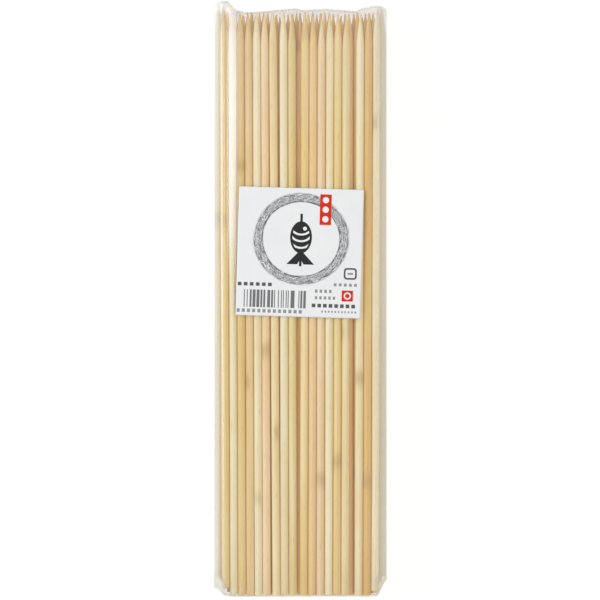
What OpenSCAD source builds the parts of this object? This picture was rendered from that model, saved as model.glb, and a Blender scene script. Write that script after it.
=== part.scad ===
// Retail pack of bamboo fish skewers: a close bundle of round sticks, each
// sharpened at one end, sealed in a clear film bag with a square paper label.
// The pack lies on its back. X runs across it, +Y towards the points and +Z
// towards the labelled front. The origin is the middle of its underside.

/* [Skewers] */
// Length of the longest skewer, from butt to point
skewer_l = 300; // [240:1:380]
// How much shorter the shortest skewer is
skewer_l_spread = 4.5; // [0:0.5:8]
// Diameter of a skewer
skewer_d = 4.1; // [3.6:0.1:5]
// How far a diameter strays from that, each way
skewer_d_spread = 0.05; // [0:0.01:0.15]
// Length of the sharpened point
point_l = 16; // [8:0.5:30]
// Diameter of the point's blunt end
point_d = 0.5; // [0.3:0.1:1.2]
// Chamfer round the sawn butt
butt_chamfer = 0.25; // [0.1:0.05:0.8]

/* [Bundle] */
// Rows of skewers, from the back to the front
rows = 10; // [6:1:12]
// Skewers in the widest rows
wide_row = 21; // [20:1:26]
// Least space between skewers
skewer_gap = 0.05; // [0.04:0.01:0.2]
// Extra play between neighbours in one row
row_play = 0.12; // [0:0.01:0.3]
// How far the butts stand back from the end of the bundle
butt_spread = 0.6; // [0:0.1:3]
// Width of each open gap in the front row
front_gap = 2.6; // [1:0.1:3.4]
// How much shorter the skewers at the left side are, with their butts raised
left_short = 4.5; // [0:0.5:8]
// Width of the bundle that is short there
left_short_w = 9; // [5:0.5:12]
// How much shorter the skewers at the right side are
right_short = 8; // [6:0.5:10]
// Width of the bundle that is short there
right_short_w = 5; // [4:0.5:8]
// How far the skewers at the left side are pushed up towards the points
left_push = 4; // [0:0.5:6]
// Width of the bundle that is pushed up there
left_push_w = 8; // [7:0.5:14]
// How far the skewers at the right side are pushed up
right_push = 1.5; // [0:0.5:6]
// Width of the bundle that is pushed up there
right_push_w = 13; // [8:0.5:16]

/* [Film bag] */
// Thickness of the film
film_t = 0.15; // [0.1:0.01:0.4]
// Space between the film and what it wraps
film_gap = 0.35; // [0.25:0.05:1]
// Space between the two walls just inside the welded edge
weld_space = 0.3; // [0.15:0.05:0.8]
// Depth of the welded edge
weld_l = 0.5; // [0.3:0.1:0.6]
// How far the weld stands out past the points
point_end_rise = 0.8; // [0.7:0.1:4]
// How far the weld stands out past the butts
butt_end_rise = 0.8; // [0.7:0.1:4]
// How far in from the pushed up skewers the bag's ears over them reach
ear_reach = 6.5; // [4.5:0.5:9]
// Height of the bag's rounded corners over the points
ear_corner_h = 4; // [1:0.5:4.5]
// Width of those corners
ear_corner_w = 3.6; // [2.8:0.1:4.5]
// Height of the bag's corner at the left under the butts
left_corner_h = 0.5; // [0:0.5:1.5]
// Height of the bag's corner at the right under the butts
right_corner_h = 7; // [1:0.5:7]
// Width of those two corners
butt_corner_w = 7; // [4:0.5:9]

/* [Label] */
// Width of the label
label_w = 64; // [30:0.5:66]
// Height of the label
label_h = 66; // [30:0.5:110]
// Thickness of the label
label_t = 0.12; // [0.08:0.01:0.4]
// Middle of the label below the points
label_down = 124; // [60:0.5:160]
// Middle of the label to the right of the bundle's middle
label_right = -0.3; // [-4:0.1:4]
// Turn of the label, clockwise from the front
label_turn = 1.7; // [-4:0.1:4]
// Space between the label and the film
label_gap = 0.02; // [0.01:0.01:0.1]

/* [Hidden] */
front_n = wide_row - 3;
FRONT = [for (i = [1 : front_n]) str("skewer_front_", i)];
INNER = [for (r = [1 : rows - 1]) str("skewers_row_", r)];

bamboo = "#e4c893";
film_colour = [0.93, 0.95, 0.96, 0.3];
paper = "#f2f4f7";
skewer_sides = 40;
seed = 31;
// Added to the seed for the play between skewers at the butts and at the points
butt_roll = 100;
point_roll = 200;
// Share of the sides' push that the bag follows under the butts
slack = 0.5;
// Above 1, the point is fuller than a straight cone
point_fullness = 1.45;
// How far below the highest point the film starts to bend over the points
point_end_inset = 2;
// The bag closes over its two ends in steps. Each is the share of its depth
// kept there and the share of the end's rise reached.
butt_steps = [[0, 1], [0.55, 0.8], [0.94, 0.35]];
point_steps = [[0.93, 0], [0.55, 0.7], [0, 1]];

// The front row opens in three places. Each is given as the number of skewers to
// its left and its share of front_gap: at the butts and again at the points, so
// the skewers between them lean.
butt_openings = [[round(front_n * 0.33), 0.3], [round(front_n * 0.5), 0.55], [round(front_n * 0.83), 1.1]];
point_openings = [[round(front_n * 0.39), 0.5], [round(front_n * 0.5), 1], [round(front_n * 0.83), 1.2]];

// Places along a skewer, from butt to point, where it is held clear of others
stations = [0, 0.2, 0.4, 0.6, 0.8, 1];

// A bundled skewer is a list: x and z at the butts' plane, x and z at the
// points' plane, radius, and where its butt and its point end along Y.
function mix(a, b, t) = a + (b - a) * t;
function x_at(s, t) = mix(s[0], s[2], t);
function z_at(s, t) = mix(s[1], s[3], t);
function radius(s) = s[4];
function butt_y(s) = s[5];
function point_y(s) = s[6];
function smooth(u) = let (c = min(1, max(0, u))) c * c * (3 - 2 * c);
function total(v, n) = n < 1 ? 0 : v[n - 1] + total(v, n - 1);

// Rows alternate between the widest and one fewer, so that each nests in the
// one behind it. The back row is two fewer and the front row three fewer.
function in_row(r) = r == 0 ? wide_row - 2 : r == rows - 1 ? front_n : wide_row - r % 2;
function radii(r) = [for (v = rands(-1, 1, in_row(r), seed + r)) (skewer_d + v * skewer_d_spread) / 2];
function opening(r, i, openings) =
    r < rows - 1 ? 0 : max([for (o = openings) o[0] == i ? o[1] * front_gap : 0]);

// Middles of a row's skewers, side by side and centred on the bundle
function row_x(r, openings, roll) =
    let (
        rad = radii(r),
        n = len(rad),
        play = rands(0, 1, n, seed + roll + r),
        steps = [for (i = [1 : n - 1])
            rad[i - 1] + rad[i] + skewer_gap + play[i] * row_play + opening(r, i, openings)],
        span = total(steps, n - 1)
    )
    [for (i = [0 : n - 1]) total(steps, i) - span / 2];

// Height at which a skewer of radius r at x comes to rest on those before it
function rest_z(x, r, t, before) =
    max(concat([floor_z + r], [for (s = before)
        let (reach = r + radius(s) + skewer_gap, dx = abs(x - x_at(s, t)))
        dx < reach ? z_at(s, t) + sqrt(reach * reach - dx * dx) : 0]));

// A skewer [x at butt, x at point, radius] laid on those before it. It stays
// straight, so it is raised until it clears them at every station.
function laid(s, before) =
    let (
        z = [for (t = stations) rest_z(mix(s[0], s[1], t), s[2], t, before)],
        z_end = z[len(z) - 1],
        raise = max([for (i = [0 : len(z) - 1]) z[i] - mix(z[0], z_end, stations[i])])
    )
    [s[0], z[0] + raise, s[1], z_end + raise, s[2]];

function piled(todo, done = []) =
    len(done) == len(todo) ? done :
    let (first = max(0, len(done) - 2 * wide_row - 2))
    piled(todo, concat(done, [laid(todo[len(done)],
        [for (k = [first : 1 : len(done) - 1]) done[k]])]));

floor_z = film_t + film_gap;
todo = [for (r = [0 : rows - 1])
    let (xb = row_x(r, butt_openings, butt_roll), xp = row_x(r, point_openings, point_roll), rad = radii(r))
    for (i = [0 : in_row(r) - 1]) [xb[i], xp[i], rad[i]]];
pile = piled(todo);
count = len(pile);
half_bundle = max([for (s = pile) max(abs(s[0]), abs(s[2])) + radius(s)]);

// How far a skewer whose outer side is at x is pushed up, near the two sides,
// and how far its butt stands up in all, as it is also a short one
function pushed(x) =
    left_push * pow(smooth((-x - half_bundle + left_push_w) / left_push_w), 2) +
    right_push * pow(smooth((x - half_bundle + right_push_w) / right_push_w), 2);
function raised(x) = pushed(x) +
    left_short * smooth((-x - half_bundle + left_short_w) / left_short_w) +
    right_short * smooth((x - half_bundle + right_short_w) / right_short_w);

butts = rands(0, 1, count, seed + 300);
shortness = rands(0, 1, count, seed + 400);
bundle = [for (i = [0 : count - 1])
    let (
        s = pile[i],
        side = s[0] + sign(s[0]) * radius(s),
        missing = max(shortness[i] * skewer_l_spread, raised(side) - pushed(side)),
        start = butts[i] * butt_spread + raised(side),
        end = start + skewer_l - missing
    )
    concat(s, [start, end])];
level_end = skewer_l + butt_spread;
row_start = [for (r = [0 : rows]) total([for (k = [0 : rows - 1]) in_row(k)], r)];

// Section of the bag: the film is drawn tight round the bundle, and flat over
// the front row, whose highest skewer sets its level all across.
front_z = max([for (s = bundle) max(s[1], s[3]) + radius(s)]);
function discs(t) =
    let (first = bundle[row_start[rows - 1]], last = bundle[count - 1])
    concat(
        [for (s = bundle) [x_at(s, t), z_at(s, t), radius(s)]],
        [for (s = [first, last]) [x_at(s, t), front_z - radius(s), radius(s)]]
    );
turn_step = 6;
turns = [for (a = [0 : turn_step : 360 - turn_step]) a];
half_turn = 180 / turn_step;
function extent(t) = let (d = discs(t))
    [for (a = turns) max([for (p = d) p[0] * cos(a) + p[1] * sin(a) + p[2]])];
extents = [extent(0), extent(1)];
function level(x, h, out, i) = (h[i] + out - x * cos(turns[i])) / sin(turns[i]);
function top_z(x, h, out) = min([for (i = [1 : half_turn - 1]) level(x, h, out, i)]);
function low_z(x, h, out) = max([for (i = [half_turn + 1 : len(turns) - 1]) level(x, h, out, i)]);

// One closed ring of the bag, out from the bundle by out: along its front from
// right to left and along its back from left to right, at matching x.
across = 48;
function ring_section(h, out) =
    let (
        right = h[0] + out,
        left = -h[half_turn] - out,
        xs = [for (i = [0 : across]) mix(left, right, (1 + cos(180 * i / across)) / 2)]
    )
    concat([for (x = xs) [x, top_z(x, h, out)]], [for (i = [across : -1 : 0]) [xs[i], low_z(xs[i], h, out)]]);

bag_top = front_z + film_gap + film_t;
weld_z = bag_top / 2;
// The section drawn in towards the weld's level. At 0 only the weld's own
// thickness is left.
function drawn_in(section, keep, thick) =
    [for (i = [0 : len(section) - 1])
        let (side = i <= across ? 1 : -1)
        [section[i][0], weld_z + side * thick / 2 + (section[i][1] - weld_z - side * thick / 2) * keep]];

// Over the points the pushed up sides of the bundle draw the bag out into ears.
// Under the butts the bag follows them only part of the way, in a slack corner.
// All four corners are rounded, as a quarter of an ellipse.
function corner(x, w) =
    let (c = min(1, max(0, (abs(x) - half_bundle - film_gap - film_t + w) / w)))
    1 - sqrt(1 - c * c);
function ear(x) = pushed(x + sign(x) * ear_reach) - ear_corner_h * corner(x, ear_corner_w);
function toe(x) = slack * raised(x) + (x < 0 ? left_corner_h : right_corner_h) * corner(x, butt_corner_w);
function at_points(section, y, rise, out) =
    [for (p = section) [p[0], level_end + ear(p[0]) + y + rise * (point_end_rise - out), p[1]]];
function at_butts(section, y, rise, out) =
    [for (p = section) [p[0], toe(p[0]) - y - rise * (butt_end_rise - out), p[1]]];

// A closed shell round the bundle. out is its distance from the skewers, thick
// its thickness at the welds and short how far it stops from the welds' edges.
module shell(out, thick, short) {
    butt = ring_section(extents[0], out);
    point = ring_section(extents[1], out);
    rings = concat(
        [for (s = butt_steps) at_butts(drawn_in(butt, s[0], thick), out, s[1], short)],
        [at_butts(butt, out, 0, short), at_points(point, out - point_end_inset, 0, short)],
        [for (s = point_steps) at_points(drawn_in(point, s[0], thick), out, s[1], short)]
    );
    n = 2 * across + 2;
    last = len(rings) - 1;
    walls = [for (j = [0 : last - 1], i = [0 : n - 1])
        let (a = j * n + i, b = j * n + (i + 1) % n)
        each [[a, b, b + n], [a, b + n, a + n]]];
    caps = [for (i = [0 : across - 1])
        let (f = i, g = i + 1, back_f = n - 1 - i, back_g = n - 2 - i, top = last * n)
        each [[f, back_g, g], [f, back_f, back_g],
            [top + f, top + g, top + back_g], [top + f, top + back_g, top + back_f]]];
    polyhedron([for (r = rings) each r], concat(walls, caps));
}

// The bag's middle, which the pack is centred on
right_x = max(extents[0][0], extents[1][0]) + film_gap + film_t;
left_x = -max(extents[0][half_turn], extents[1][half_turn]) - film_gap - film_t;
high_y = level_end + film_gap + film_t + point_end_rise + max(left_push, right_push);
low_y = -film_gap - film_t - butt_end_rise;
module centred() {
    translate([-(left_x + right_x) / 2, -(low_y + high_y) / 2, 0]) children();
}

// One skewer along +Z from its butt, shaped as it comes from the sharpener:
// the point is a little fuller than a straight cone.
module stick(length, r) {
    point = [for (u = [0 : 0.25 : 1])
        [mix(r, point_d / 2, pow(u, point_fullness)), length - point_l * (1 - u)]];
    rotate_extrude($fn = skewer_sides)
        polygon(concat([[0, 0], [r - butt_chamfer, 0], [r, butt_chamfer]], point, [[0, length]]));
}

module skewer(s) {
    run = [s[2] - s[0], skewer_l, s[3] - s[1]];
    t = butt_y(s) / skewer_l;
    color(bamboo) centred()
        translate([x_at(s, t), butt_y(s), z_at(s, t)])
            rotate([0, acos(run[2] / norm(run)), atan2(run[1], run[0])])
                stick(point_y(s) - butt_y(s), radius(s));
}

module film_bag() {
    color(film_colour) centred() difference() {
        shell(film_gap + film_t, weld_space + 2 * film_t, 0);
        shell(film_gap, weld_space, weld_l);
    }
}

module label() {
    color(paper) centred()
        translate([label_right, skewer_l - label_down, bag_top + label_gap + label_t / 2])
            rotate(-label_turn) cube([label_w, label_h, label_t], center = true);
}

film_bag();
label();
for (i = [0 : front_n - 1])
    skewer(bundle[row_start[rows - 1] + i]);
for (r = [0 : rows - 2])
    for (k = [row_start[r] : row_start[r + 1] - 1]) skewer(bundle[k]);
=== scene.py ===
# %% [markdown]
# # A sealed pack of bamboo fish skewers
# The real pack is about two hundred round bamboo sticks, sharpened at one end
# and sealed tight in a clear film bag, with a square paper label stuck on its
# front. The CAD model gives every stick, the bag and the label their sizes and
# places. This script gives them their looks: wood that differs from stick to
# stick, film that is seen by its gloss and haze alone, and printed paper.

# %% Load the CAD model
import math

import bpy
import numpy as np
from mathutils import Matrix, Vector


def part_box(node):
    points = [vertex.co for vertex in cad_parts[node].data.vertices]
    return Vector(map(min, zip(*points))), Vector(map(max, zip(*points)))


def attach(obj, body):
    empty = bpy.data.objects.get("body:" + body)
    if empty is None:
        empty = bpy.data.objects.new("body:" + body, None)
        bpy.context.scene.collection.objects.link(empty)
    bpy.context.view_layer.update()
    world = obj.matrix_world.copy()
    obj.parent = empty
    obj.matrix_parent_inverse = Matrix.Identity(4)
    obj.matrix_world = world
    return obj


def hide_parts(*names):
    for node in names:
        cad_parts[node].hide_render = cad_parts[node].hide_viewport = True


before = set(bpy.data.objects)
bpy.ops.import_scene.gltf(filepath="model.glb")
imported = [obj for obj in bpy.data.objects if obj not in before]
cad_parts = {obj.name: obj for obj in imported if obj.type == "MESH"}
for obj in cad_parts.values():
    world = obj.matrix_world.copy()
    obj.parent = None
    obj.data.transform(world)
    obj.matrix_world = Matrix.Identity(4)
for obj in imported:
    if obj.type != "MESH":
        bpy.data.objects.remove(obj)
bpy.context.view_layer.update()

MM = 0.001

# %% [markdown]
# ## Camera
# The photograph looks straight down on the front, and the sides of the pack
# don't show, so the camera stands far off with a long lens. Its picture of the
# front is about 308 mm wide, which makes the pack fill the frame's height, and
# it stands under a millimetre off the pack's middle, as the photograph does.

# %% Place the camera
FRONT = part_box("film_bag")[1][2]
CAMERA_HEIGHT = 2.0
CAMERA_X, CAMERA_Y = -0.2 * MM, -0.65 * MM
MM_PER_PIXEL = 0.5125
PICTURE_PIXELS = 600
PICTURE_WIDTH = MM_PER_PIXEL * PICTURE_PIXELS * MM
SENSOR = 36.0

camera_data = bpy.data.cameras.new("camera")
camera_data.sensor_width = SENSOR
camera_data.lens = SENSOR * CAMERA_HEIGHT / PICTURE_WIDTH
camera_data.clip_end = 20
camera = bpy.data.objects.new("camera", camera_data)
camera.location = (CAMERA_X, CAMERA_Y, FRONT + CAMERA_HEIGHT)
bpy.context.scene.collection.objects.link(camera)
bpy.context.scene.camera = camera
print("Lens in mm:", round(camera_data.lens, 1))

# %% [markdown]
# ## Meshes from arrays
# Every surface here is worked out with numpy as one array of points and handed
# to Blender in one call. Numbers that a material needs, such as how far along
# its stick a point lies, travel with the points as attributes, so a pattern
# follows its own stick and not the room.

# %% Turn arrays into a mesh
def make_piece(name, points, faces, flat=None):
    """A mesh object from an array of points and a list of faces. Faces are
    smooth, apart from those that the flat array marks."""
    mesh = bpy.data.meshes.new(name)
    mesh.from_pydata(points.reshape(-1, 3).tolist(), [], faces)
    smooth = np.ones(len(faces), bool) if flat is None else ~flat
    mesh.polygons.foreach_set("use_smooth", smooth)
    mesh.update()
    piece = bpy.data.objects.new(name, mesh)
    bpy.context.scene.collection.objects.link(piece)
    return piece


def join(*corners):
    """Faces from arrays of point numbers, one array for each of their corners."""
    return np.stack(corners, -1).reshape(-1, len(corners))


def give(piece, name, kind, values):
    """Stores one value for each point of a piece as the attribute name."""
    layer = piece.data.attributes.new(name, kind, "POINT")
    field = {"FLOAT": "value", "FLOAT_VECTOR": "vector", "FLOAT_COLOR": "color"}[kind]
    layer.data.foreach_set(field, np.asarray(values, np.float32).ravel())


def smooth_step(u):
    """0 below 0, 1 above 1, and 3u² - 2u³ between them."""
    u = np.clip(u, 0, 1)
    return u * u * (3 - 2 * u)


def linear(red, green, blue):
    """A colour written as it looks on a screen, from 0 to 255, in the linear
    values that Blender's sockets take."""
    c = np.array([red, green, blue]) / 255
    return tuple(np.where(c <= 0.04045, c / 12.92, ((c + 0.055) / 1.055) ** 2.4).tolist())


# %% [markdown]
# ## Where the sticks lie
# A row of sticks is one CAD node of separate solids. To dress each stick by
# itself the script has to find it again. Triangles that share a corner belong
# to the same solid, so each passes on the lowest number among its corners until
# nothing changes. A stick's line then runs from the middle of its flat butt to
# the middle of its blunt point.

# %% Measure the sticks
def corners_of(node):
    """The points of a CAD node's mesh."""
    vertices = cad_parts[node].data.vertices
    corners = np.empty(len(vertices) * 3, np.float32)
    vertices.foreach_get("co", corners)
    return corners.reshape(-1, 3)


def solids_of(node):
    """The points of each separate solid in a CAD node."""
    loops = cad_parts[node].data.loops
    triangles = np.empty(len(loops), np.int32)
    loops.foreach_get("vertex_index", triangles)
    places, which = np.unique(np.round(corners_of(node), 6), axis=0, return_inverse=True)
    triangles = which.ravel()[triangles].reshape(-1, 3)
    label = np.arange(len(places))
    while True:
        lowest = label[triangles].min(axis=1)
        passed = label.copy()
        for corner in range(3):
            np.minimum.at(passed, triangles[:, corner], lowest)
        passed = passed[passed]
        if (passed == label).all():
            break
        label = passed
    return [places[label == solid] for solid in np.unique(label)]


def middle(points):
    """The middle of the box round some points."""
    return (points.min(axis=0) + points.max(axis=0)) / 2


def measure(node):
    """Butts, points and radii of the sticks in a node, from left to right."""
    butts, tips, radii = [], [], []
    for solid in solids_of(node):
        y = solid[:, 1]
        butt = middle(solid[y < y.min() + 0.1 * MM])
        tip = middle(solid[y > y.max() - 0.1 * MM])
        along = (tip - butt) / np.linalg.norm(tip - butt)
        off = (solid - butt) - np.outer((solid - butt) @ along, along)
        butts.append(butt)
        tips.append(tip)
        radii.append(np.linalg.norm(off, axis=1).max())
    order = np.argsort([b[0] + t[0] for b, t in zip(butts, tips)])
    return np.array(butts)[order], np.array(tips)[order], np.array(radii)[order]


def numbered(start):
    """The CAD nodes whose names are start and a number, in order."""
    count = sum(name.startswith(start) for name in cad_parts)
    return [f"{start}{i + 1}" for i in range(count)]


front_nodes, row_nodes = numbered("skewer_front_"), numbered("skewers_row_")
lines = {node: measure(node) for node in front_nodes + row_nodes}
all_butts, all_tips, all_radii = (np.concatenate([lines[n][k] for n in lines]) for k in range(3))
print("Sticks:", len(all_radii), "of diameter", np.round(2 * all_radii.min() / MM, 2), "to",
      np.round(2 * all_radii.max() / MM, 2), "mm")

# %% [markdown]
# ## The sticks
# A skewer is split from a bamboo cane, turned round and sharpened, which leaves
# a point that is a little fuller than a straight cone. So one profile, the
# radius at each distance from the butt, is carried round the stick's line. The
# front sticks show whole and get more rings and sides than those behind them.

# %% Carry a profile along each stick
POINT_L = 16 * MM
POINT_R = 0.25 * MM
FULLNESS = 1.45
CHAMFER = 0.25 * MM
TIP_ROUND = 0.1 * MM
LEAN_MM = 0.22
APART = 4
JOINTS = (0.02, 0.5)


def profile(length, radius, shaft, cone):
    """Distances from the butt and radii there, one row for each stick. On the
    point, the radius goes from the shaft's to the blunt end's as u to the power of
    FULLNESS."""
    along = np.linspace(0, 1, shaft)[None, :] * (length - POINT_L - CHAMFER)[:, None] + CHAMFER
    u = np.linspace(0, 1, cone + 1)[None, 1:]
    taper = (length - POINT_L)[:, None] + u * (POINT_L - TIP_ROUND)
    nose = radius[:, None] + (POINT_R - radius)[:, None] * u ** FULLNESS
    distance = np.hstack([0 * length[:, None], along, taper, length[:, None]])
    wide = np.hstack([radius[:, None] - CHAMFER, radius[:, None] + 0 * along, nose,
                      0.6 * POINT_R + 0 * length[:, None]])
    return distance, wide


def make_sticks(name, node, sides, shaft, cone, tones, random):
    """One piece of all the sticks in a node: rings of points round each line,
    joined by quads, with a fan of triangles on the butt and on the point."""
    butt, tip, radius = lines[node]
    count = len(radius)
    run = tip - butt
    length = np.linalg.norm(run, axis=1)
    ahead = run / length[:, None]
    across = np.cross(ahead, [0.0, 0.0, 1.0])
    across /= np.linalg.norm(across, axis=1)[:, None]
    up = np.cross(across, ahead)
    distance, wide = profile(length, radius, shaft, cone)
    rings = distance.shape[1]

    turn = np.arange(sides) * 2 * math.pi / sides
    # A sharpened point is never quite true: its end sits a little off the line
    bend = np.clip((distance - (length - POINT_L)[:, None]) / POINT_L, 0, 1) ** 2
    lean = random.uniform(-LEAN_MM, LEAN_MM, (count, 2)) * MM
    local_x = wide[:, :, None] * np.cos(turn) + (bend * lean[:, :1])[:, :, None]
    local_z = wide[:, :, None] * np.sin(turn) + (bend * lean[:, 1:])[:, :, None]
    centres = butt[:, None, :] + distance[:, :, None] * ahead[:, None, :]
    points = (centres[:, :, None, :] + local_x[..., None] * across[:, None, None, :]
              + local_z[..., None] * up[:, None, None, :]).reshape(count, -1, 3)
    ends = np.stack([butt, tip + lean[:, :1] * across + lean[:, 1:] * up], axis=1)
    points = np.concatenate([points, ends], axis=1)

    ring, i = np.meshgrid(np.arange(rings - 1) * sides, np.arange(sides), indexing="ij")
    j = (i + 1) % sides
    walls = join(ring + i, ring + sides + i, ring + sides + j, ring + j)
    i, j, last = i[0], j[0], (rings - 1) * sides
    butt_fan = join(np.full(sides, rings * sides), i, j)
    tip_fan = join(np.full(sides, rings * sides + 1), last + j, last + i)
    step = rings * sides + 2
    faces = [face for s in range(count)
             for part in (walls, butt_fan, tip_fan) for face in (part + s * step).tolist()]
    sawn = np.r_[np.arange(len(walls)) < sides, np.ones(sides, bool), np.zeros(sides, bool)]
    flat = np.tile(sawn, count)
    piece = make_piece(name, points, faces, flat)

    # Own place on the stick: across it, along it and up, far from other sticks'
    along = np.concatenate([np.repeat(distance, sides, axis=1), distance[:, :1], distance[:, -1:]], axis=1)
    flat_x = np.concatenate([local_x.reshape(count, -1), 0 * length[:, None], lean[:, :1]], axis=1)
    flat_z = np.concatenate([local_z.reshape(count, -1), 0 * length[:, None], lean[:, 1:]], axis=1)
    away = random.uniform(0, APART, (count, 1))
    give(piece, "own", "FLOAT_VECTOR", np.stack([flat_x + away, along + away, flat_z], -1))
    # How far from the butt, from the point, and from the cane's joint
    joint = random.uniform(*JOINTS, (count, 1))
    give(piece, "place", "FLOAT_VECTOR", np.stack([along, length[:, None] - along, along - joint], -1))
    colour = np.concatenate([tones, np.ones((count, 1))], axis=1)
    give(piece, "tone", "FLOAT_COLOR", np.repeat(colour[:, None, :], step, axis=1))
    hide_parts(node)
    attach(piece, "root")
    return piece


# %% [markdown]
# ## The tones of bamboo
# Skewers come from many canes and from different depths of their walls, so a
# pack mixes pale cream sticks with golden, tan and slightly green ones. The
# front sticks take their family one by one from a list, so that the light and
# dark ones stand where the photograph shows them, and the others are drawn at
# random. Those are tinted warmer, as painted warm shade, so that light which
# finds its way out between the front ones comes out orange and not grey.

# %% Choose the tones and make the sticks
FAMILIES = {
    "pale": (236, 228, 194),
    "cream": (235, 220, 174),
    "golden": (233, 211, 147),
    "deep": (229, 197, 129),
    "tan": (231, 205, 151),
    "pink": (236, 213, 174),
    "green": (228, 211, 150),
}
FRONT_TONES = ("golden pale golden tan pale pink cream pale green "
               "golden tan pink pale golden cream pale deep pale").split()
BACK_TONES = list(FAMILIES)
TONE_DRIFT = 0.035
# Painted warm shade: a tint for the sticks behind the front row
GAP_SHADE_TINT = (1.03, 0.96, 0.8)
# Sides, rings on the shaft and rings on the point
WHOLE, OUTER, INNER = (28, 12, 10), (18, 2, 6), (12, 2, 3)
random = np.random.default_rng(12)


def tones_of(names, random, depth=(1, 1, 1)):
    """The families' colours, each stick a little lighter or darker, times the
    factors in the last argument, which paint warm shade on sticks behind the front row."""
    base = np.array([linear(*FAMILIES[name]) for name in names]) * depth
    return base * (1 + random.uniform(-TONE_DRIFT, TONE_DRIFT, (len(names), 1)))


sticks = []
for index, node in enumerate(front_nodes):
    tones = tones_of([FRONT_TONES[index % len(FRONT_TONES)]], random)
    sticks.append(make_sticks(node.replace("skewer", "bamboo"), node, *WHOLE, tones, random))
for index, node in enumerate(row_nodes):
    families = list(random.choice(BACK_TONES, len(lines[node][2])))
    # The two at a row's ends show along the pack's sides, and are pale there
    families[0] = families[-1] = "pale"
    # Painted warm shade on the sticks behind the front row, but not on a row's two end sticks
    depth = np.ones((len(families), 3)) * GAP_SHADE_TINT
    depth[[0, -1]] = 1
    rings = OUTER if index in (0, len(row_nodes) - 1) else INNER
    tones = tones_of(families, random, depth)
    sticks.append(make_sticks(node.replace("skewers", "bamboo"), node, *rings, tones, random))
print("Pieces of bamboo:", len(sticks), "with", sum(len(s.data.polygons) for s in sticks), "faces")

# %% [markdown]
# ## Writing materials as sums
# A finish is a formula, so it is written as one. A Value is a socket, and
# adding, multiplying or comparing Values adds the Math nodes that do it. Any
# other node comes from one method of Finish, which sets the node up and then
# fills its sockets.

# %% Wrap sockets and nodes
class Value:
    """A number that a material works out for each point of a surface."""

    def __init__(self, finish, socket):
        self.finish = finish
        self.socket = socket

    def math(self, operation, *others):
        return self.finish.node("Math", {"operation": operation}, dict(enumerate((self, *others))))

    def capped(self):
        """The value, but 1 where it is more."""
        return self.math("MINIMUM", 1.0)

    def __add__(self, other):
        return self.math("ADD", other)

    def __sub__(self, other):
        return self.math("SUBTRACT", other)

    def __rsub__(self, other):
        return self.finish.node("Math", {"operation": "SUBTRACT"}, {0: other, 1: self})

    def __mul__(self, other):
        return self.math("MULTIPLY", other)

    def __truediv__(self, other):
        return self.math("DIVIDE", other)

    def __lt__(self, other):
        return self.math("LESS_THAN", other)

    def __gt__(self, other):
        return self.math("GREATER_THAN", other)

    def __abs__(self):
        return self.math("ABSOLUTE")

    __radd__ = __add__
    __rmul__ = __mul__


class Finish:
    """A material that is built up node by node."""

    def __init__(self, name):
        self.material = bpy.data.materials.new(name)
        self.material.use_nodes = True
        self.tree = self.material.node_tree
        self.tree.nodes.clear()

    def node(self, kind, settings=None, sockets=None, out=0):
        """Adds a node: its settings first, then the values or links of its
        sockets, by name or number. Gives the output named or numbered out."""
        node = self.tree.nodes.new("ShaderNode" + kind)
        for name, value in (settings or {}).items():
            setattr(node, name, value)
        for name, value in (sockets or {}).items():
            if isinstance(value, Value):
                self.tree.links.new(value.socket, node.inputs[name])
            else:
                node.inputs[name].default_value = value
        return Value(self, node.outputs[out]) if len(node.outputs) else None

    def attribute(self, name, out):
        return self.node("Attribute", {"attribute_name": name}, out=out)

    def split(self, vector):
        """The x, y and z of a vector as three Values."""
        axes = self.node("SeparateXYZ", sockets={0: vector}).socket.node.outputs
        return [Value(self, axis) for axis in axes]

    def stretch(self, vector, factors):
        return self.node("VectorMath", {"operation": "MULTIPLY"}, {0: vector, 1: factors})

    def noise(self, vector, factors, detail=2.0, roughness=0.5):
        """Cloudy values from 0 to 1 with that many waves a metre each way."""
        return self.node("TexNoise", sockets={"Vector": self.stretch(vector, factors), "Scale": 1.0,
                                              "Detail": detail, "Roughness": roughness})

    def ramp(self, value, low, high):
        """0 where value is under low, 1 where it is over high, smooth between."""
        return self.node("MapRange", {"interpolation_type": "SMOOTHSTEP"},
                         {"Value": value, "From Min": low, "From Max": high})

    def mix(self, factor, a, b, blend="MIX"):
        """Colour a where factor is 0 and b where it is 1."""
        colours = {6: a, 7: b}
        for key, colour in colours.items():
            if not isinstance(colour, Value):
                colours[key] = (*colour, 1)
        return self.node("Mix", {"data_type": "RGBA", "blend_type": blend}, {0: factor, **colours}, out=2)

    def bump(self, height, distance, strength=1.0):
        return self.node("Bump", sockets={"Height": height, "Distance": distance, "Strength": strength})

    def surface(self, shader):
        self.node("OutputMaterial", sockets={"Surface": shader})
        return self.material


# %% [markdown]
# ## Bamboo
# Bamboo is all lengthwise fibre: fine pale and dark lines along the stick,
# slow drifts of colour, and short brown flecks. Where the cane had a joint the
# wood is darker for a few millimetres. The sawn butt shows the fibres end on,
# as dots. Each pattern is noise that is squeezed across the stick and drawn
# out along it, in the stick's own coordinates, so it leans with its stick and
# has no seam. Real bamboo also lets light through, so the narrow gaps between
# sticks look brown and not black: a faint glow of the wood's own colour, taken
# further to orange, stands in for that.

# %% Mix the bamboo
GLOW = 0.055
GLOW_TINT = (1.0, 0.72, 0.4)


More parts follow.
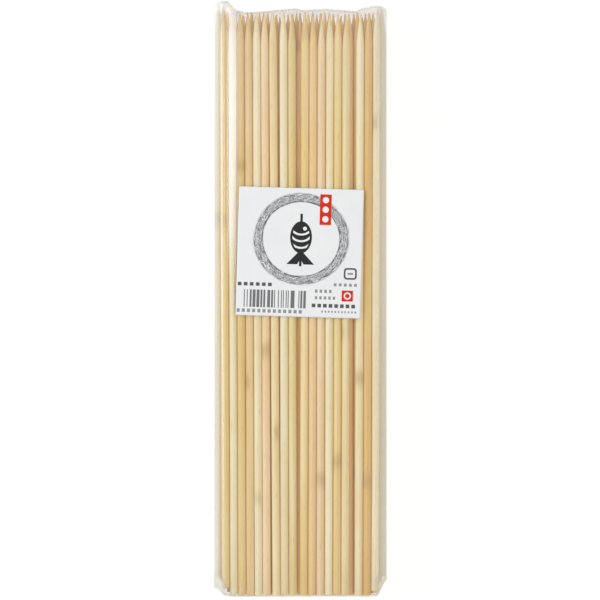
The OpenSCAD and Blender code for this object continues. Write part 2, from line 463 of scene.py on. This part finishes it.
def bamboo():
    f = Finish("bamboo")
    own = f.attribute("own", "Vector")
    tone = f.attribute("tone", "Color")
    from_butt, from_tip, from_joint = f.split(f.attribute("place", "Vector"))

    fibres = f.noise(own, (3800, 30, 3800), detail=3, roughness=0.6)
    drift = f.noise(own, (330, 8, 330), detail=1)
    cloud = f.noise(own, (60, 30, 60), detail=2)
    flecks = f.ramp(f.noise(own, (2600, 150, 2600), detail=1), 0.66, 0.78)

    colour = f.mix(f.ramp(drift, 0.38, 0.75) * 0.6, tone, (0.93, 0.80, 0.56), "MULTIPLY")
    colour = f.mix(f.ramp(cloud, 0.4, 0.8) * 0.45, colour, (0.93, 0.84, 0.66), "MULTIPLY")
    colour = f.mix(f.ramp(drift, 0.5, 0.25) * 0.35, colour, linear(246, 236, 204))
    colour = f.mix(f.ramp(fibres, 0.35, 0.7) * 0.4, colour, (0.88, 0.80, 0.66), "MULTIPLY")
    colour = f.mix(flecks * 0.4, colour, linear(150, 104, 52))
    # The joint of the cane: a darker, greener band that fades out each way
    joint = f.ramp(abs(from_joint + (cloud - 0.5) * 0.01), 0.007, 0.0) * f.ramp(drift, 0.3, 0.6)
    colour = f.mix(joint * 0.55, colour, linear(182, 148, 84))
    # The cut point is warmer: partly its cut fibres, partly painted warm shade among
    # the points. The sawn rim of the butt is warmer too
    colour = f.mix(f.ramp(from_tip, 0.014, 0.0) * 0.15, colour, linear(226, 184, 122))
    sawn = from_butt < 0.00005
    dots = f.node("TexVoronoi", {"voronoi_dimensions": "3D"},
                  {"Vector": f.stretch(own, (2300, 0, 2300)), "Scale": 1.0})
    colour = f.mix(sawn * f.ramp(dots, 0.42, 0.2) * 0.6, colour, linear(150, 108, 58))

    shader = f.node("BsdfPrincipled", sockets={
        "Base Color": colour,
        "Roughness": 0.46 + fibres * 0.2,
        "Specular IOR Level": 0.3,
        "Emission Color": f.mix(1.0, colour, GLOW_TINT, "MULTIPLY"),
        "Emission Strength": GLOW,
        "Normal": f.bump(fibres + flecks * 0.4, 0.00006, 0.6),
    })
    return f.surface(shader)


bamboo_finish = bamboo()
for stick in sticks:
    stick.data.materials.append(bamboo_finish)
print("Nodes in the bamboo:", len(bamboo_finish.node_tree.nodes))

# %% [markdown]
# ## The film bag
# The bag is a tube of thin film, drawn tight round the sticks and welded at
# both ends. Its section is what a string pulled round all the sticks would
# take: in each direction the furthest stick holds it, and the string is the
# lowest of all the straight lines that those make. Towards the ends the film
# closes down to the weld, along the line that the CAD bag gives.

# %% Work out the bag's section
FILM_OUT = 0.42 * MM
ANGLES = np.radians(np.arange(0, 360, 2.0))
ACROSS = 200
front_z = max(max(lines[n][0][0][2], lines[n][1][0][2]) + lines[n][2][0] for n in front_nodes)
butts_y = all_butts[:, 1].min()
tips_y = all_tips[:, 1].max()


def discs_at(y):
    """Where the sticks cut a plane across the pack, and their radii. Two more
    discs keep the film level over the whole front row."""
    share = ((y - all_butts[:, 1]) / (all_tips[:, 1] - all_butts[:, 1]))[:, None]
    centre = all_butts + share * (all_tips - all_butts)
    discs = np.column_stack([centre[:, 0], centre[:, 2], all_radii])
    corners = [discs[0].copy(), discs[len(front_nodes) - 1].copy()]
    for corner in corners:
        corner[1] = front_z - corner[2]
    return np.vstack([discs, corners])


def section(y):
    """The film's outline at y: x and z of points from right to left along the
    front and back along the back. Height is the least of the lines
    (reach - x cos a) / sin a, over the directions a."""
    discs = discs_at(y)
    reach = discs[:, :1] * np.cos(ANGLES) + discs[:, 1:2] * np.sin(ANGLES) + discs[:, 2:]
    reach = reach.max(axis=0) + FILM_OUT
    right, left = reach[0], -reach[len(ANGLES) // 2]
    x = left + (right - left) * (1 + np.cos(np.pi * np.arange(ACROSS + 1) / ACROSS)) / 2
    above = (ANGLES > 0.01) & (ANGLES < math.pi - 0.01)
    below = ANGLES > math.pi + 0.01
    heights = [(reach[side] - np.outer(x, np.cos(ANGLES[side]))) / np.sin(ANGLES[side])
               for side in (above, below)]
    top, low = heights[0].min(axis=1), heights[1].max(axis=1)
    return np.concatenate([np.column_stack([x, top]), np.column_stack([x, low])[::-1]])


def weld_line(side):
    """How far the CAD bag's weld reaches along Y at a given x, as a function.
    side is 1 at the points and -1 at the butts."""
    corners = corners_of("film_bag")
    corners = corners[corners[:, 1] * side > 0]
    cells = np.round(corners[:, 0] / MM).astype(int)
    xs = np.unique(cells)
    reach = np.array([(corners[cells == c, 1] * side).max() for c in xs]) * side
    return lambda x: np.interp(x, xs * MM, reach)


points_weld, butts_weld = weld_line(1), weld_line(-1)
butt_section, point_section = section(butts_y), section(tips_y)
print("Film section in mm:", np.round(np.ptp(butt_section, axis=0) / MM, 2).tolist())

# %% [markdown]
# ## Wrinkles, ridge and weld
# Film is seen by what it reflects, so its small slopes matter more than its
# place. Over the second stick from the left it falls away by one to three
# degrees, which is enough to mirror the strip lamp as one long white glare.
# Elsewhere it waves by less than a degree, clings a little to each stick, and
# puckers towards the welds. The weld over the points isn't straight: longer
# sticks push it out and it dips between them.

# %% Make the film
BODY_RINGS = 150
END_RINGS = 9
BUTT_RISE = 0.8 * MM
POINT_RISE = 2.8 * MM
LIP = 0.3 * MM
LIP_T = 0.12 * MM
RIDGE_X = -32.9 * MM
RIDGE_W = 4.6 * MM
RIDGE_FALL = 0.185 * MM
CLING = 0.008 * MM
STICK_PITCH = 4.3 * MM
PUCKER = 0.022 * MM
FRONT_HALF = 43 * MM
SEAM_X = (-36, -32, -22, -14, -3, 1, 13, 20, 27, 33)
SEAM_DIP = (0, 1.2, 0.9, 0.2, -0.6, 0.3, -0.2, 0.5, 1.0, 0)
WAVES = ((9.0, 43.0, 0.4, 0.024), (17.0, 31.0, 1.9, 0.015), (31.0, 17.0, 3.1, 0.009),
         (47.0, 61.0, 5.2, 0.005), (23.0, 90.0, 0.9, 0.005))


def waves(x, y):
    """A sum of sine waves, given as waves a metre across and along, phase and
    height in mm."""
    total = 0 * x
    for across, along, phase, height in WAVES:
        total = total + height * np.sin(2 * math.pi * (across * x + along * y * 0.3) + phase)
    return total * MM


def film():
    """The bag as rings of points from the butts' weld to the points' weld. For
    the ends, keep is the share of the section's depth that is left and reach
    the share of the rise along Y, on a rounded quarter turn."""
    weld_z = (butt_section[:, 1].max() + butt_section[:, 1].min()) / 2
    side = np.where(np.arange(len(butt_section)) <= ACROSS, 1.0, -1.0)
    quarter = np.radians(np.linspace(0, 90, END_RINGS + 1))[1:]
    rings = []

    def ring(base, y, keep):
        z = weld_z + side * LIP_T / 2 + (base[:, 1] - weld_z - side * LIP_T / 2) * keep
        rings.append(np.column_stack([base[:, 0], y, z]))

    xb, xp = butt_section[:, 0], point_section[:, 0]
    low, high = butts_weld(xb), points_weld(xp)
    high = high - np.interp(xp / MM, SEAM_X, SEAM_DIP) * MM
    ring(butt_section, low, 0)
    for angle in quarter[::-1]:
        ring(butt_section, low + LIP + (BUTT_RISE - LIP) * (1 - math.sin(angle)), math.cos(angle))
    for t in np.linspace(0, 1, BODY_RINGS):
        base = butt_section + (point_section - butt_section) * t
        ring(base, (low + BUTT_RISE) * (1 - t) + (high - POINT_RISE) * t, 1)
    for angle in quarter:
        keep, reach = math.sqrt(abs(math.cos(angle))), math.sqrt(math.sin(angle))
        ring(point_section, high - LIP - (POINT_RISE - LIP) * (1 - reach), keep if keep > 0.01 else 0)
    ring(point_section, high, 0)
    points = np.stack(rings)

    x, y = points[..., 0], points[..., 1]
    from_end = np.minimum(high[None, :] - y, y - low[None, :])
    inside = smooth_step(from_end / (9 * MM))
    front = (side > 0)[None, :] & (np.abs(x) < FRONT_HALF)
    # Under the label the film is held flat, so most of its waves stop there
    (low_x, low_y), (high_x, high_y) = (corner[:2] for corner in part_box("label"))
    label_x = smooth_step((high_x + 1.5 * MM - x) / MM) * smooth_step((x - low_x + 0.5 * MM) / (0.5 * MM))
    label_y = smooth_step((high_y + 2 * MM - y) / MM) * smooth_step((y - low_y + 2 * MM) / MM)
    bare = 1 - 0.75 * label_x * label_y
    fall = -RIDGE_FALL * smooth_ridge(x) * smooth_step((FRONT_HALF + x) / (5.5 * MM))
    wave = waves(x, y) * bare
    cling = CLING * np.cos(2 * math.pi * x / STICK_PITCH) * bare
    cling = cling * smooth_step((x - RIDGE_X - MM) / (8 * MM))
    folds = np.sin(x / (0.9 * MM) + 2 * np.sin(x / (5 * MM))) + np.sin(x / (2.1 * MM) + 1.3)
    pucker = PUCKER * folds * (1 - smooth_step(from_end / (14 * MM))) * smooth_step(from_end / MM)
    points[..., 2] += np.where(front, inside * (fall + wave + cling) + pucker, 0)
    points[..., 2] -= np.where((side < 0)[None, :] & (np.abs(x) < 40 * MM), inside * 0.5 * np.abs(wave), 0)
    return points, from_end


def smooth_ridge(x):
    """How much of the ridge's fall is reached at x: none right of it, all left
    of it, and in between the integral of a slope that grows to the left."""
    u = np.clip((RIDGE_X - x) / RIDGE_W, 0, 1)
    return 0.6 * u + 0.4 * u * u


def tube_faces(rings, around):
    """Quads between rings of points that run round once, and two rows of quads
    that close the first and the last ring across."""
    ring, i = np.meshgrid(np.arange(rings - 1) * around, np.arange(around), indexing="ij")
    j = (i + 1) % around
    walls = join(ring + i, ring + j, ring + around + j, ring + around + i)
    f = np.arange(around // 2 - 1)
    first = join(f, around - 1 - f, around - 2 - f, f + 1)
    last = first[:, ::-1] + (rings - 1) * around
    return np.concatenate([walls, first, last]).tolist()


film_points, film_edge = film()
film_bag = make_piece("film", film_points, tube_faces(*film_points.shape[:2]))
give(film_bag, "edge", "FLOAT", film_edge)
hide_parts("film_bag")
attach(film_bag, "root")
print("Film faces:", len(film_bag.data.polygons), "box in mm:",
      np.round([film_points.min(axis=(0, 1)) / MM, film_points.max(axis=(0, 1)) / MM], 2).tolist())

# %% [markdown]
# ## Clear film
# Thin film bends no light, so it isn't glass. What it adds is a mirror that is
# weak face on and strong at a glancing angle, and a white haze where it is
# slack, creased or folded, plus haze that paints the lamp's glare with its pink
# edge and some glints on creases. So the shader is mostly Transparent, mixed
# with a surface whose metallic share is the mirror and whose plain share is the haze.

# %% Mix the film
FILM_MIRROR = 0.06
HAZE = 0.008


def clear_film():
    f = Finish("clear_film")
    place = f.node("TexCoord", out="Object")
    x, y, z = f.split(place)
    edge = f.attribute("edge", "Fac")
    glance = f.node("LayerWeight", sockets={"Blend": 0.35}, out="Facing")
    streaks = f.noise(place, (160, 5, 160), detail=3)
    patches = f.noise(place, (26, 11, 26), detail=2)
    creases = f.noise(place, (420, 300, 420), detail=2)

    # Slack film: along the front's two edges, over the points and at the butts' corners
    front = f.ramp(z, 0.024, 0.034) * 0.8 + 0.2
    left = f.ramp(x, -0.0385, -0.0435) * front
    right = f.ramp(x, 0.0360, 0.0430) * front
    # Painted highlight: a white haze strip where the strip lamp's glare lies over the second stick
    painted_glare = f.ramp(abs(x + 0.0347), 0.0030, 0.0014) * f.ramp(y, 0.0, 0.045)
    upper = f.ramp(y - (x + 0.055) * 0.225, 0.055, 0.10)
    lower = f.ramp(y + (patches - 0.5) * 0.03, -0.068, -0.095)
    over = f.ramp(y, 0.1450, 0.1490)
    left_toe = f.ramp(y + x * 0.6, -0.1660, -0.1700) * f.ramp(x, -0.0365, -0.0395) * front
    right_toe = f.ramp(y, -0.1400, -0.1460) * f.ramp(x, 0.0365, 0.0390) * front
    # By the butts' weld: creases whiten the film a little, and this haze also paints their glints
    crease_haze_and_glints = f.ramp(y, -0.1470, -0.1510) * f.ramp(x, -0.0200, -0.0300) * f.ramp(creases, 0.5, 0.65)
    # Painted highlight: a pink edge along the left side of the glare
    painted_glare_fringe = f.ramp(abs(x + 0.0376), 0.0009, 0.0002) * f.ramp(y, 0.0, 0.06) * f.ramp(y, 0.1495, 0.1475)
    foot = f.ramp(y, -0.140, -0.145)
    # The welds' grey line: partly the crushed weld, partly painted shade at the weld's lip
    line = f.ramp(edge, foot * 0.0005 + 0.0005, 0.0001)

    haze = HAZE + f.ramp(streaks, 0.45, 0.75) * 0.03 + left * 0.33 + right * 0.42
    haze = haze + upper * 0.06 + lower * 0.02 + over * 0.3 + painted_glare * 0.41
    haze = haze + left_toe * 0.45 + right_toe * 0.3
    haze = haze * (0.85 + patches * 0.3) + crease_haze_and_glints * 0.3 + painted_glare_fringe * 0.2 + line * (0.14 + foot * 0.3)
    mirror = FILM_MIRROR + glance * glance * glance * 0.5
    mirror = mirror * (1 - line * 0.8) * (1 - f.ramp(y, -0.148, -0.152) * 0.7)

    # Doubled film is a little greyer. The grey along the welds is partly the crushed
    # weld's own colour and partly painted shade
    colour = f.mix(over, linear(250, 247, 243), linear(252, 246, 238))
    colour = f.mix(right, colour, linear(234, 237, 236))
    colour = f.mix(left_toe.math("MAXIMUM", right_toe), colour, linear(226, 219, 200))
    colour = f.mix(painted_glare_fringe, colour, linear(250, 226, 222))
    colour = f.mix(line, colour, linear(160, 150, 134))
    shown = mirror + haze
    shader = f.node("BsdfPrincipled", sockets={
        "Base Color": colour,
        "Metallic": mirror / shown,
        "Roughness": 0.10 + f.ramp(streaks, 0.4, 0.8) * 0.05,
        "Normal": f.bump(f.noise(place, (900, 60, 900), detail=2), 0.000007, 0.5),
    })
    clear = f.node("BsdfTransparent")
    return f.surface(f.node("MixShader", sockets={0: shown, 1: clear, 2: shader}))


film_finish = clear_film()
film_bag.data.materials.append(film_finish)
print("Nodes in the film:", len(film_finish.node_tree.nodes))

# %% [markdown]
# ## The label
# The label is thin coated paper, and the sticks under the film show through it
# as faint upright ridges. It is a closed sheet: a grid for its face, the same
# grid a tenth of a millimetre lower for its back, and a rim between them. Its
# place and its slight turn come from the CAD label's own corners.

# %% Make the label
LABEL_GRID = 90
LABEL_T = 0.1 * MM
RIDGE_PITCH = 4.32 * MM
RIDGE_DEPTH = 0.014 * MM
SLOW_DEPTH = 0.01 * MM
CORNER_LIFT = 0.05 * MM


def label_corners():
    """Lower left corner and the two edges of the CAD label's face."""
    corners = corners_of("label")
    face = np.unique(np.round(corners[corners[:, 2] > corners[:, 2].max() - 0.01 * MM], 6), axis=0)
    lower_left, lower_right, upper_left = (
        face[np.argmax(face[:, 0] * a + face[:, 1] * b)] for a, b in ((-1, -1), (1, -1), (-1, 1)))
    return lower_left, lower_right - lower_left, upper_left - lower_left


def label_sheet():
    """Face height = the CAD face's, less a dip between the sticks and a slow
    wave, and the corners lifted by the fourth power of how far out they are."""
    start, wide, high = label_corners()
    u, v = np.meshgrid(np.linspace(0, 1, LABEL_GRID + 1), np.linspace(0, 1, LABEL_GRID + 1), indexing="xy")
    face = start + u[..., None] * wide + v[..., None] * high
    ridges = RIDGE_DEPTH * (np.cos(2 * math.pi * face[..., 0] / RIDGE_PITCH + 0.7) - 1)
    slow = SLOW_DEPTH * (np.sin(2 * math.pi * (1.6 * u + 0.3 * v)) - 1)
    lift = CORNER_LIFT * np.clip(np.abs(2 * u - 1) * np.abs(2 * v - 1), 0, 1) ** 4
    face[..., 2] += ridges + slow + lift
    back = face - [0, 0, LABEL_T]
    n = LABEL_GRID + 1
    row, i = np.meshgrid(np.arange(n - 1) * n, np.arange(n - 1), indexing="ij")
    front = join(row + i, row + i + 1, row + n + i + 1, row + n + i)
    rear = front[:, ::-1] + n * n
    s = np.arange(n - 1)
    edges = [(s, s + 1), (s * n + n - 1, (s + 1) * n + n - 1),
             ((n * n - 1) - s, (n * n - 2) - s), ((n - 1 - s) * n, (n - 2 - s) * n)]
    rim = np.concatenate([join(b, a, a + n * n, b + n * n) for a, b in edges])
    faces = np.concatenate([front, rear, rim])
    flat = np.arange(len(faces)) >= len(front) + len(rear)
    piece = make_piece("paper_label", np.concatenate([face, back]), faces.tolist(), flat)
    size = [np.linalg.norm(wide), np.linalg.norm(high)]
    spot = np.stack([(u - 0.5) * size[0], (v - 0.5) * size[1]], -1).reshape(-1, 2)
    side = np.repeat([0.0, 1.0], n * n)
    give(piece, "spot", "FLOAT_VECTOR", np.column_stack([np.tile(spot, (2, 1)), side]))
    return piece


label = label_sheet()
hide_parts("label")
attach(label, "root")
print("Label faces:", len(label.data.polygons))

# %% [markdown]
# ## The print
# The label carries a plain design of this model's own: a grey ring as if drawn
# with a dry brush, a fish on a stick, red fields, and short grey strokes where
# small print would be. Each mark is a test on the distance from its middle,
# in millimetres on the paper, and the marks are laid over each other.

# %% Mix the printed paper
INK = linear(6, 6, 8)
GREY_INK = linear(96, 98, 104)
RED_INK = linear(220, 50, 30)
WHITE = linear(243, 244, 247)


def printed_paper():
    f = Finish("label_paper")
    spot = f.attribute("spot", "Vector")
    x, y, side = f.split(f.stretch(spot, (1000, 1000, 1)))

    def box(cx, cy, w, h):
        """1 in a rectangle of that middle and size, else 0."""
        return (abs(x - cx) < w / 2) * (abs(y - cy) < h / 2)

    def round_box(cx, cy, w, h, r):
        """1 in a rectangle with corners of radius r, where the distance from
        the rectangle that is r smaller on every side is under r."""
        dx = (abs(x - cx) - (w / 2 - r)).math("MAXIMUM", 0.0)
        dy = (abs(y - cy) - (h / 2 - r)).math("MAXIMUM", 0.0)
        return (dx * dx + dy * dy).math("SQRT") < r

    def disc(cx, cy, rx, ry):
        """Distance from a middle, as a share of the two half widths, so an
        oval is where it is under 1."""
        dx, dy = (x - cx) / rx, (y - cy) / ry
        return (dx * dx + dy * dy).math("SQRT")

    def strokes(cx, cy, count, h, pitch, share):
        """A row of plain strokes, each of them that share of the pitch wide."""
        w = (count - 1 + share) * pitch
        return box(cx, cy, w, h) * (((x - (cx - w / 2)) / pitch).math("FRACT") < share)

    # The brushed ring: streaks that run round it, thinner towards its edges
    ring_x, ring_y = 0.4, 6.9
    far = disc(ring_x, ring_y, 25.2, 24.3)
    turn = (y - ring_y).math("ARCTAN2", x - ring_x)
    rub = f.node("CombineXYZ", sockets={0: far * 55, 1: turn * 7, 2: turn * 0.5})
    bristle = f.node("TexNoise", sockets={"Vector": rub, "Scale": 1.0, "Detail": 3.0, "Roughness": 0.7})
    grain = f.noise(spot, (2600, 2600, 1), detail=1)
    wobble = (f.node("TexNoise", sockets={"Vector": rub, "Scale": 0.12, "Detail": 1.0}) - 0.5) * 0.05
    band = f.ramp(far + wobble, 0.76, 0.80) * f.ramp(far + wobble, 1.0, 0.94)
    ring = band * f.ramp(bristle * 0.6 + grain * 0.6, 0.5, 0.64)
    edge = f.ramp(abs(far + wobble - 0.795), 0.018, 0.005) * f.ramp(bristle, 0.38, 0.5)
    trail = f.ramp(abs(far + wobble - 0.945), 0.02, 0.006) * f.ramp(bristle, 0.45, 0.56)

    # A fish on a stick, with an eye and three rows of scales left white
    body = disc(0.4, 7.8, 5.6, 8.2) < 1.0
    tail = (abs(x - 0.4) < (1.4 - y) * 0.95) * (abs(y + 3.0) < 3.1) * (abs(x - 0.4) > (-3.4 - y) * 0.6)
    stick = box(0.4, 6.4, 1.3, 27.0)
    white = (disc(0.4, 7.8, 4.4, 7.2) < 1.0) * sum(
        (abs(disc(0.4, cy, 5.4, 4.4) - 1.0) < 0.11) * (y < cy) for cy in (13.6, 10.2, 6.8))
    white = white + (disc(2.3, 12.3, 1.0, 1.0) < 1.0)
    fish = (body + tail + stick).capped() * (1 - white.capped())

    # Small print as strokes, upright bars at random, an outlined box and red fields
    chance = f.node("TexWhiteNoise", {"noise_dimensions": "1D"}, {"W": (x / 0.5).math("FLOOR")})
    bars = box(-12.2, -24.1, 32.0, 9.0) * (chance > 0.5)
    outline = round_box(26.2, -10.2, 6.7, 6.0, 1.6) * (1 - round_box(26.2, -10.2, 4.9, 4.2, 0.9))
    dark = strokes(-22.6, -16.8, 6, 1.8, 3.1, 0.62) + outline + strokes(18.0, -26.9, 8, 1.9, 2.9, 0.66)
    dark = dark + bars * 0.9
    light = (strokes(-14.8, -30.4, 13, 1.8, 2.65, 0.6) + strokes(23.8, -16.0, 5, 1.5, 2.6, 0.55)
             + strokes(12.6, -19.5, 4, 1.7, 2.4, 0.55) + strokes(13.6, -22.9, 5, 1.6, 2.3, 0.55)
             + strokes(20.8, -29.9, 11, 1.0, 1.7, 0.5) + box(26.2, -10.2, 2.8, 1.0))
    tag = box(12.6, 22.3, 5.9, 15.7)
    tag_mark = sum((disc(12.6, cy, 1.6, 1.6) < 1.0) for cy in (27.2, 22.3, 17.4))
    seal = box(25.0, -21.6, 5.8, 5.6)
    seal_mark = abs(disc(25.0, -21.6, 1.5, 1.5) - 1.0) < 0.25

    cloud = f.noise(spot, (70, 70, 1), detail=2)
    colour = f.mix(f.ramp(cloud, 0.3, 0.8) * 0.5, WHITE, linear(236, 238, 243))
    colour = f.mix(ring * 0.85, colour, linear(84, 86, 92))
    colour = f.mix((edge + trail * 0.6).capped() * 0.85, colour, linear(56, 58, 64))
    colour = f.mix(light.capped() * 0.75, colour, GREY_INK)
    colour = f.mix(dark.capped() * 0.9, colour, linear(40, 40, 46))
    colour = f.mix(fish * 0.97, colour, INK)
    colour = f.mix(tag + seal, colour, RED_INK)
    colour = f.mix((tag_mark * tag + seal_mark * seal).capped(), colour, WHITE)
    colour = f.mix(side, colour, linear(226, 226, 224))

    shader = f.node("BsdfPrincipled", sockets={
        "Base Color": colour,
        "Roughness": 0.5 + grain * 0.1 - (tag + seal + fish).capped() * 0.1,
        "Specular IOR Level": 0.1,
        "Normal": f.bump(f.noise(spot, (1800, 1800, 1), detail=3), 0.00001, 0.5),
    })
    return f.surface(shader)


paper_finish = printed_paper()
label.data.materials.append(paper_finish)
print("Nodes in the printed paper:", len(paper_finish.node_tree.nodes))

# %% [markdown]
# ## Floor and light
# The photograph is a product shot on white, lit softly from the left: each
# stick is pale on its left and warm on its right. A wide, slightly cool lamp on
# the left and a warm room make that difference, and together they are neutral
# on the label. A narrow strip close to the camera's axis is what the ridge in
# the film mirrors.

# %% Lay the floor and set the lamps
def floor():
    """A wide sheet whose paper white shows at full strength to the camera but
    still takes some shadow."""
    half = 3.0
    corners = np.array([[-half, -half, 0], [half, -half, 0], [half, half, 0], [-half, half, 0]])
    piece = make_piece("floor", corners, [[0, 1, 2, 3]])
    piece.location = (0, 0, -0.0002)
    f = Finish("floor_paper")
    path = f.node("LightPath", out="Is Camera Ray")
    glossy = f.node("LightPath", out="Is Glossy Ray")
    plain = f.node("BsdfDiffuse", sockets={"Color": (0.9, 0.9, 0.9, 1)})
    dim = f.node("BsdfDiffuse", sockets={"Color": (0.16, 0.16, 0.16, 1)})
    glow = f.node("Emission", sockets={"Color": (1, 1, 1, 1), "Strength": 0.9})
    white = f.node("AddShader", sockets={0: dim, 1: glow})
    shown = path.math("MAXIMUM", glossy)
    piece.data.materials.append(f.surface(f.node("MixShader", sockets={0: shown, 1: plain, 2: white})))


def lamp(name, place, towards, size, brightness, tint=(1, 1, 1)):
    """A soft rectangular lamp. brightness is how bright its face looks, where 1
    is white, so its power is that times its area times pi."""
    data = bpy.data.lights.new(name, "AREA")
    data.color = tint
    data.shape = "RECTANGLE"
    data.size, data.size_y = size
    data.energy = brightness * size[0] * size[1] * math.pi
    holder = bpy.data.objects.new(name, data)
    holder.location = place
    aim = np.array(towards) - np.array(place)
    aim = aim / np.linalg.norm(aim)
    holder.rotation_euler = (math.acos(-aim[2]), 0, math.atan2(-aim[0], aim[1]))
    bpy.context.scene.collection.objects.link(holder)


def room(fill, tint):
    """A white room for the camera and for mirrors, and a dimmer, tinted one for
    light."""
    world = bpy.data.worlds.new("room")
    bpy.context.scene.world = world
    world.use_nodes = True
    nodes, links = world.node_tree.nodes, world.node_tree.links
    nodes.clear()
    path = nodes.new("ShaderNodeLightPath")
    seen = nodes.new("ShaderNodeMath")
    seen.operation = "MAXIMUM"
    lit, white = nodes.new("ShaderNodeBackground"), nodes.new("ShaderNodeBackground")
    either = nodes.new("ShaderNodeMixShader")
    out = nodes.new("ShaderNodeOutputWorld")
    lit.inputs["Color"].default_value = (*tint, 1)
    lit.inputs["Strength"].default_value = fill
    white.inputs["Color"].default_value = (1, 1, 1, 1)
    links.new(path.outputs["Is Camera Ray"], seen.inputs[0])
    links.new(path.outputs["Is Glossy Ray"], seen.inputs[1])
    links.new(seen.outputs[0], either.inputs[0])
    links.new(lit.outputs[0], either.inputs[1])
    links.new(white.outputs[0], either.inputs[2])
    links.new(either.outputs[0], out.inputs["Surface"])


floor()
room(0.67, (1.0, 0.92, 0.80))
STRIP_X, STRIP_Y, STRIP_HEIGHT = -0.15, 0.132, FRONT + 1.2
lamp("window", (-1.5, 0.4, 1.0), (0, 0, 0), (1.1, 1.5), 3.92, (0.62, 0.80, 1.0))
lamp("bounce", (1.2, -0.2, 1.3), (0, 0, 0), (1.0, 1.4), 0.9)
lamp("strip", (STRIP_X, STRIP_Y, STRIP_HEIGHT), (STRIP_X, STRIP_Y, 0), (0.12, 0.19), 3.6)
bpy.context.scene.view_settings.view_transform = "Standard"
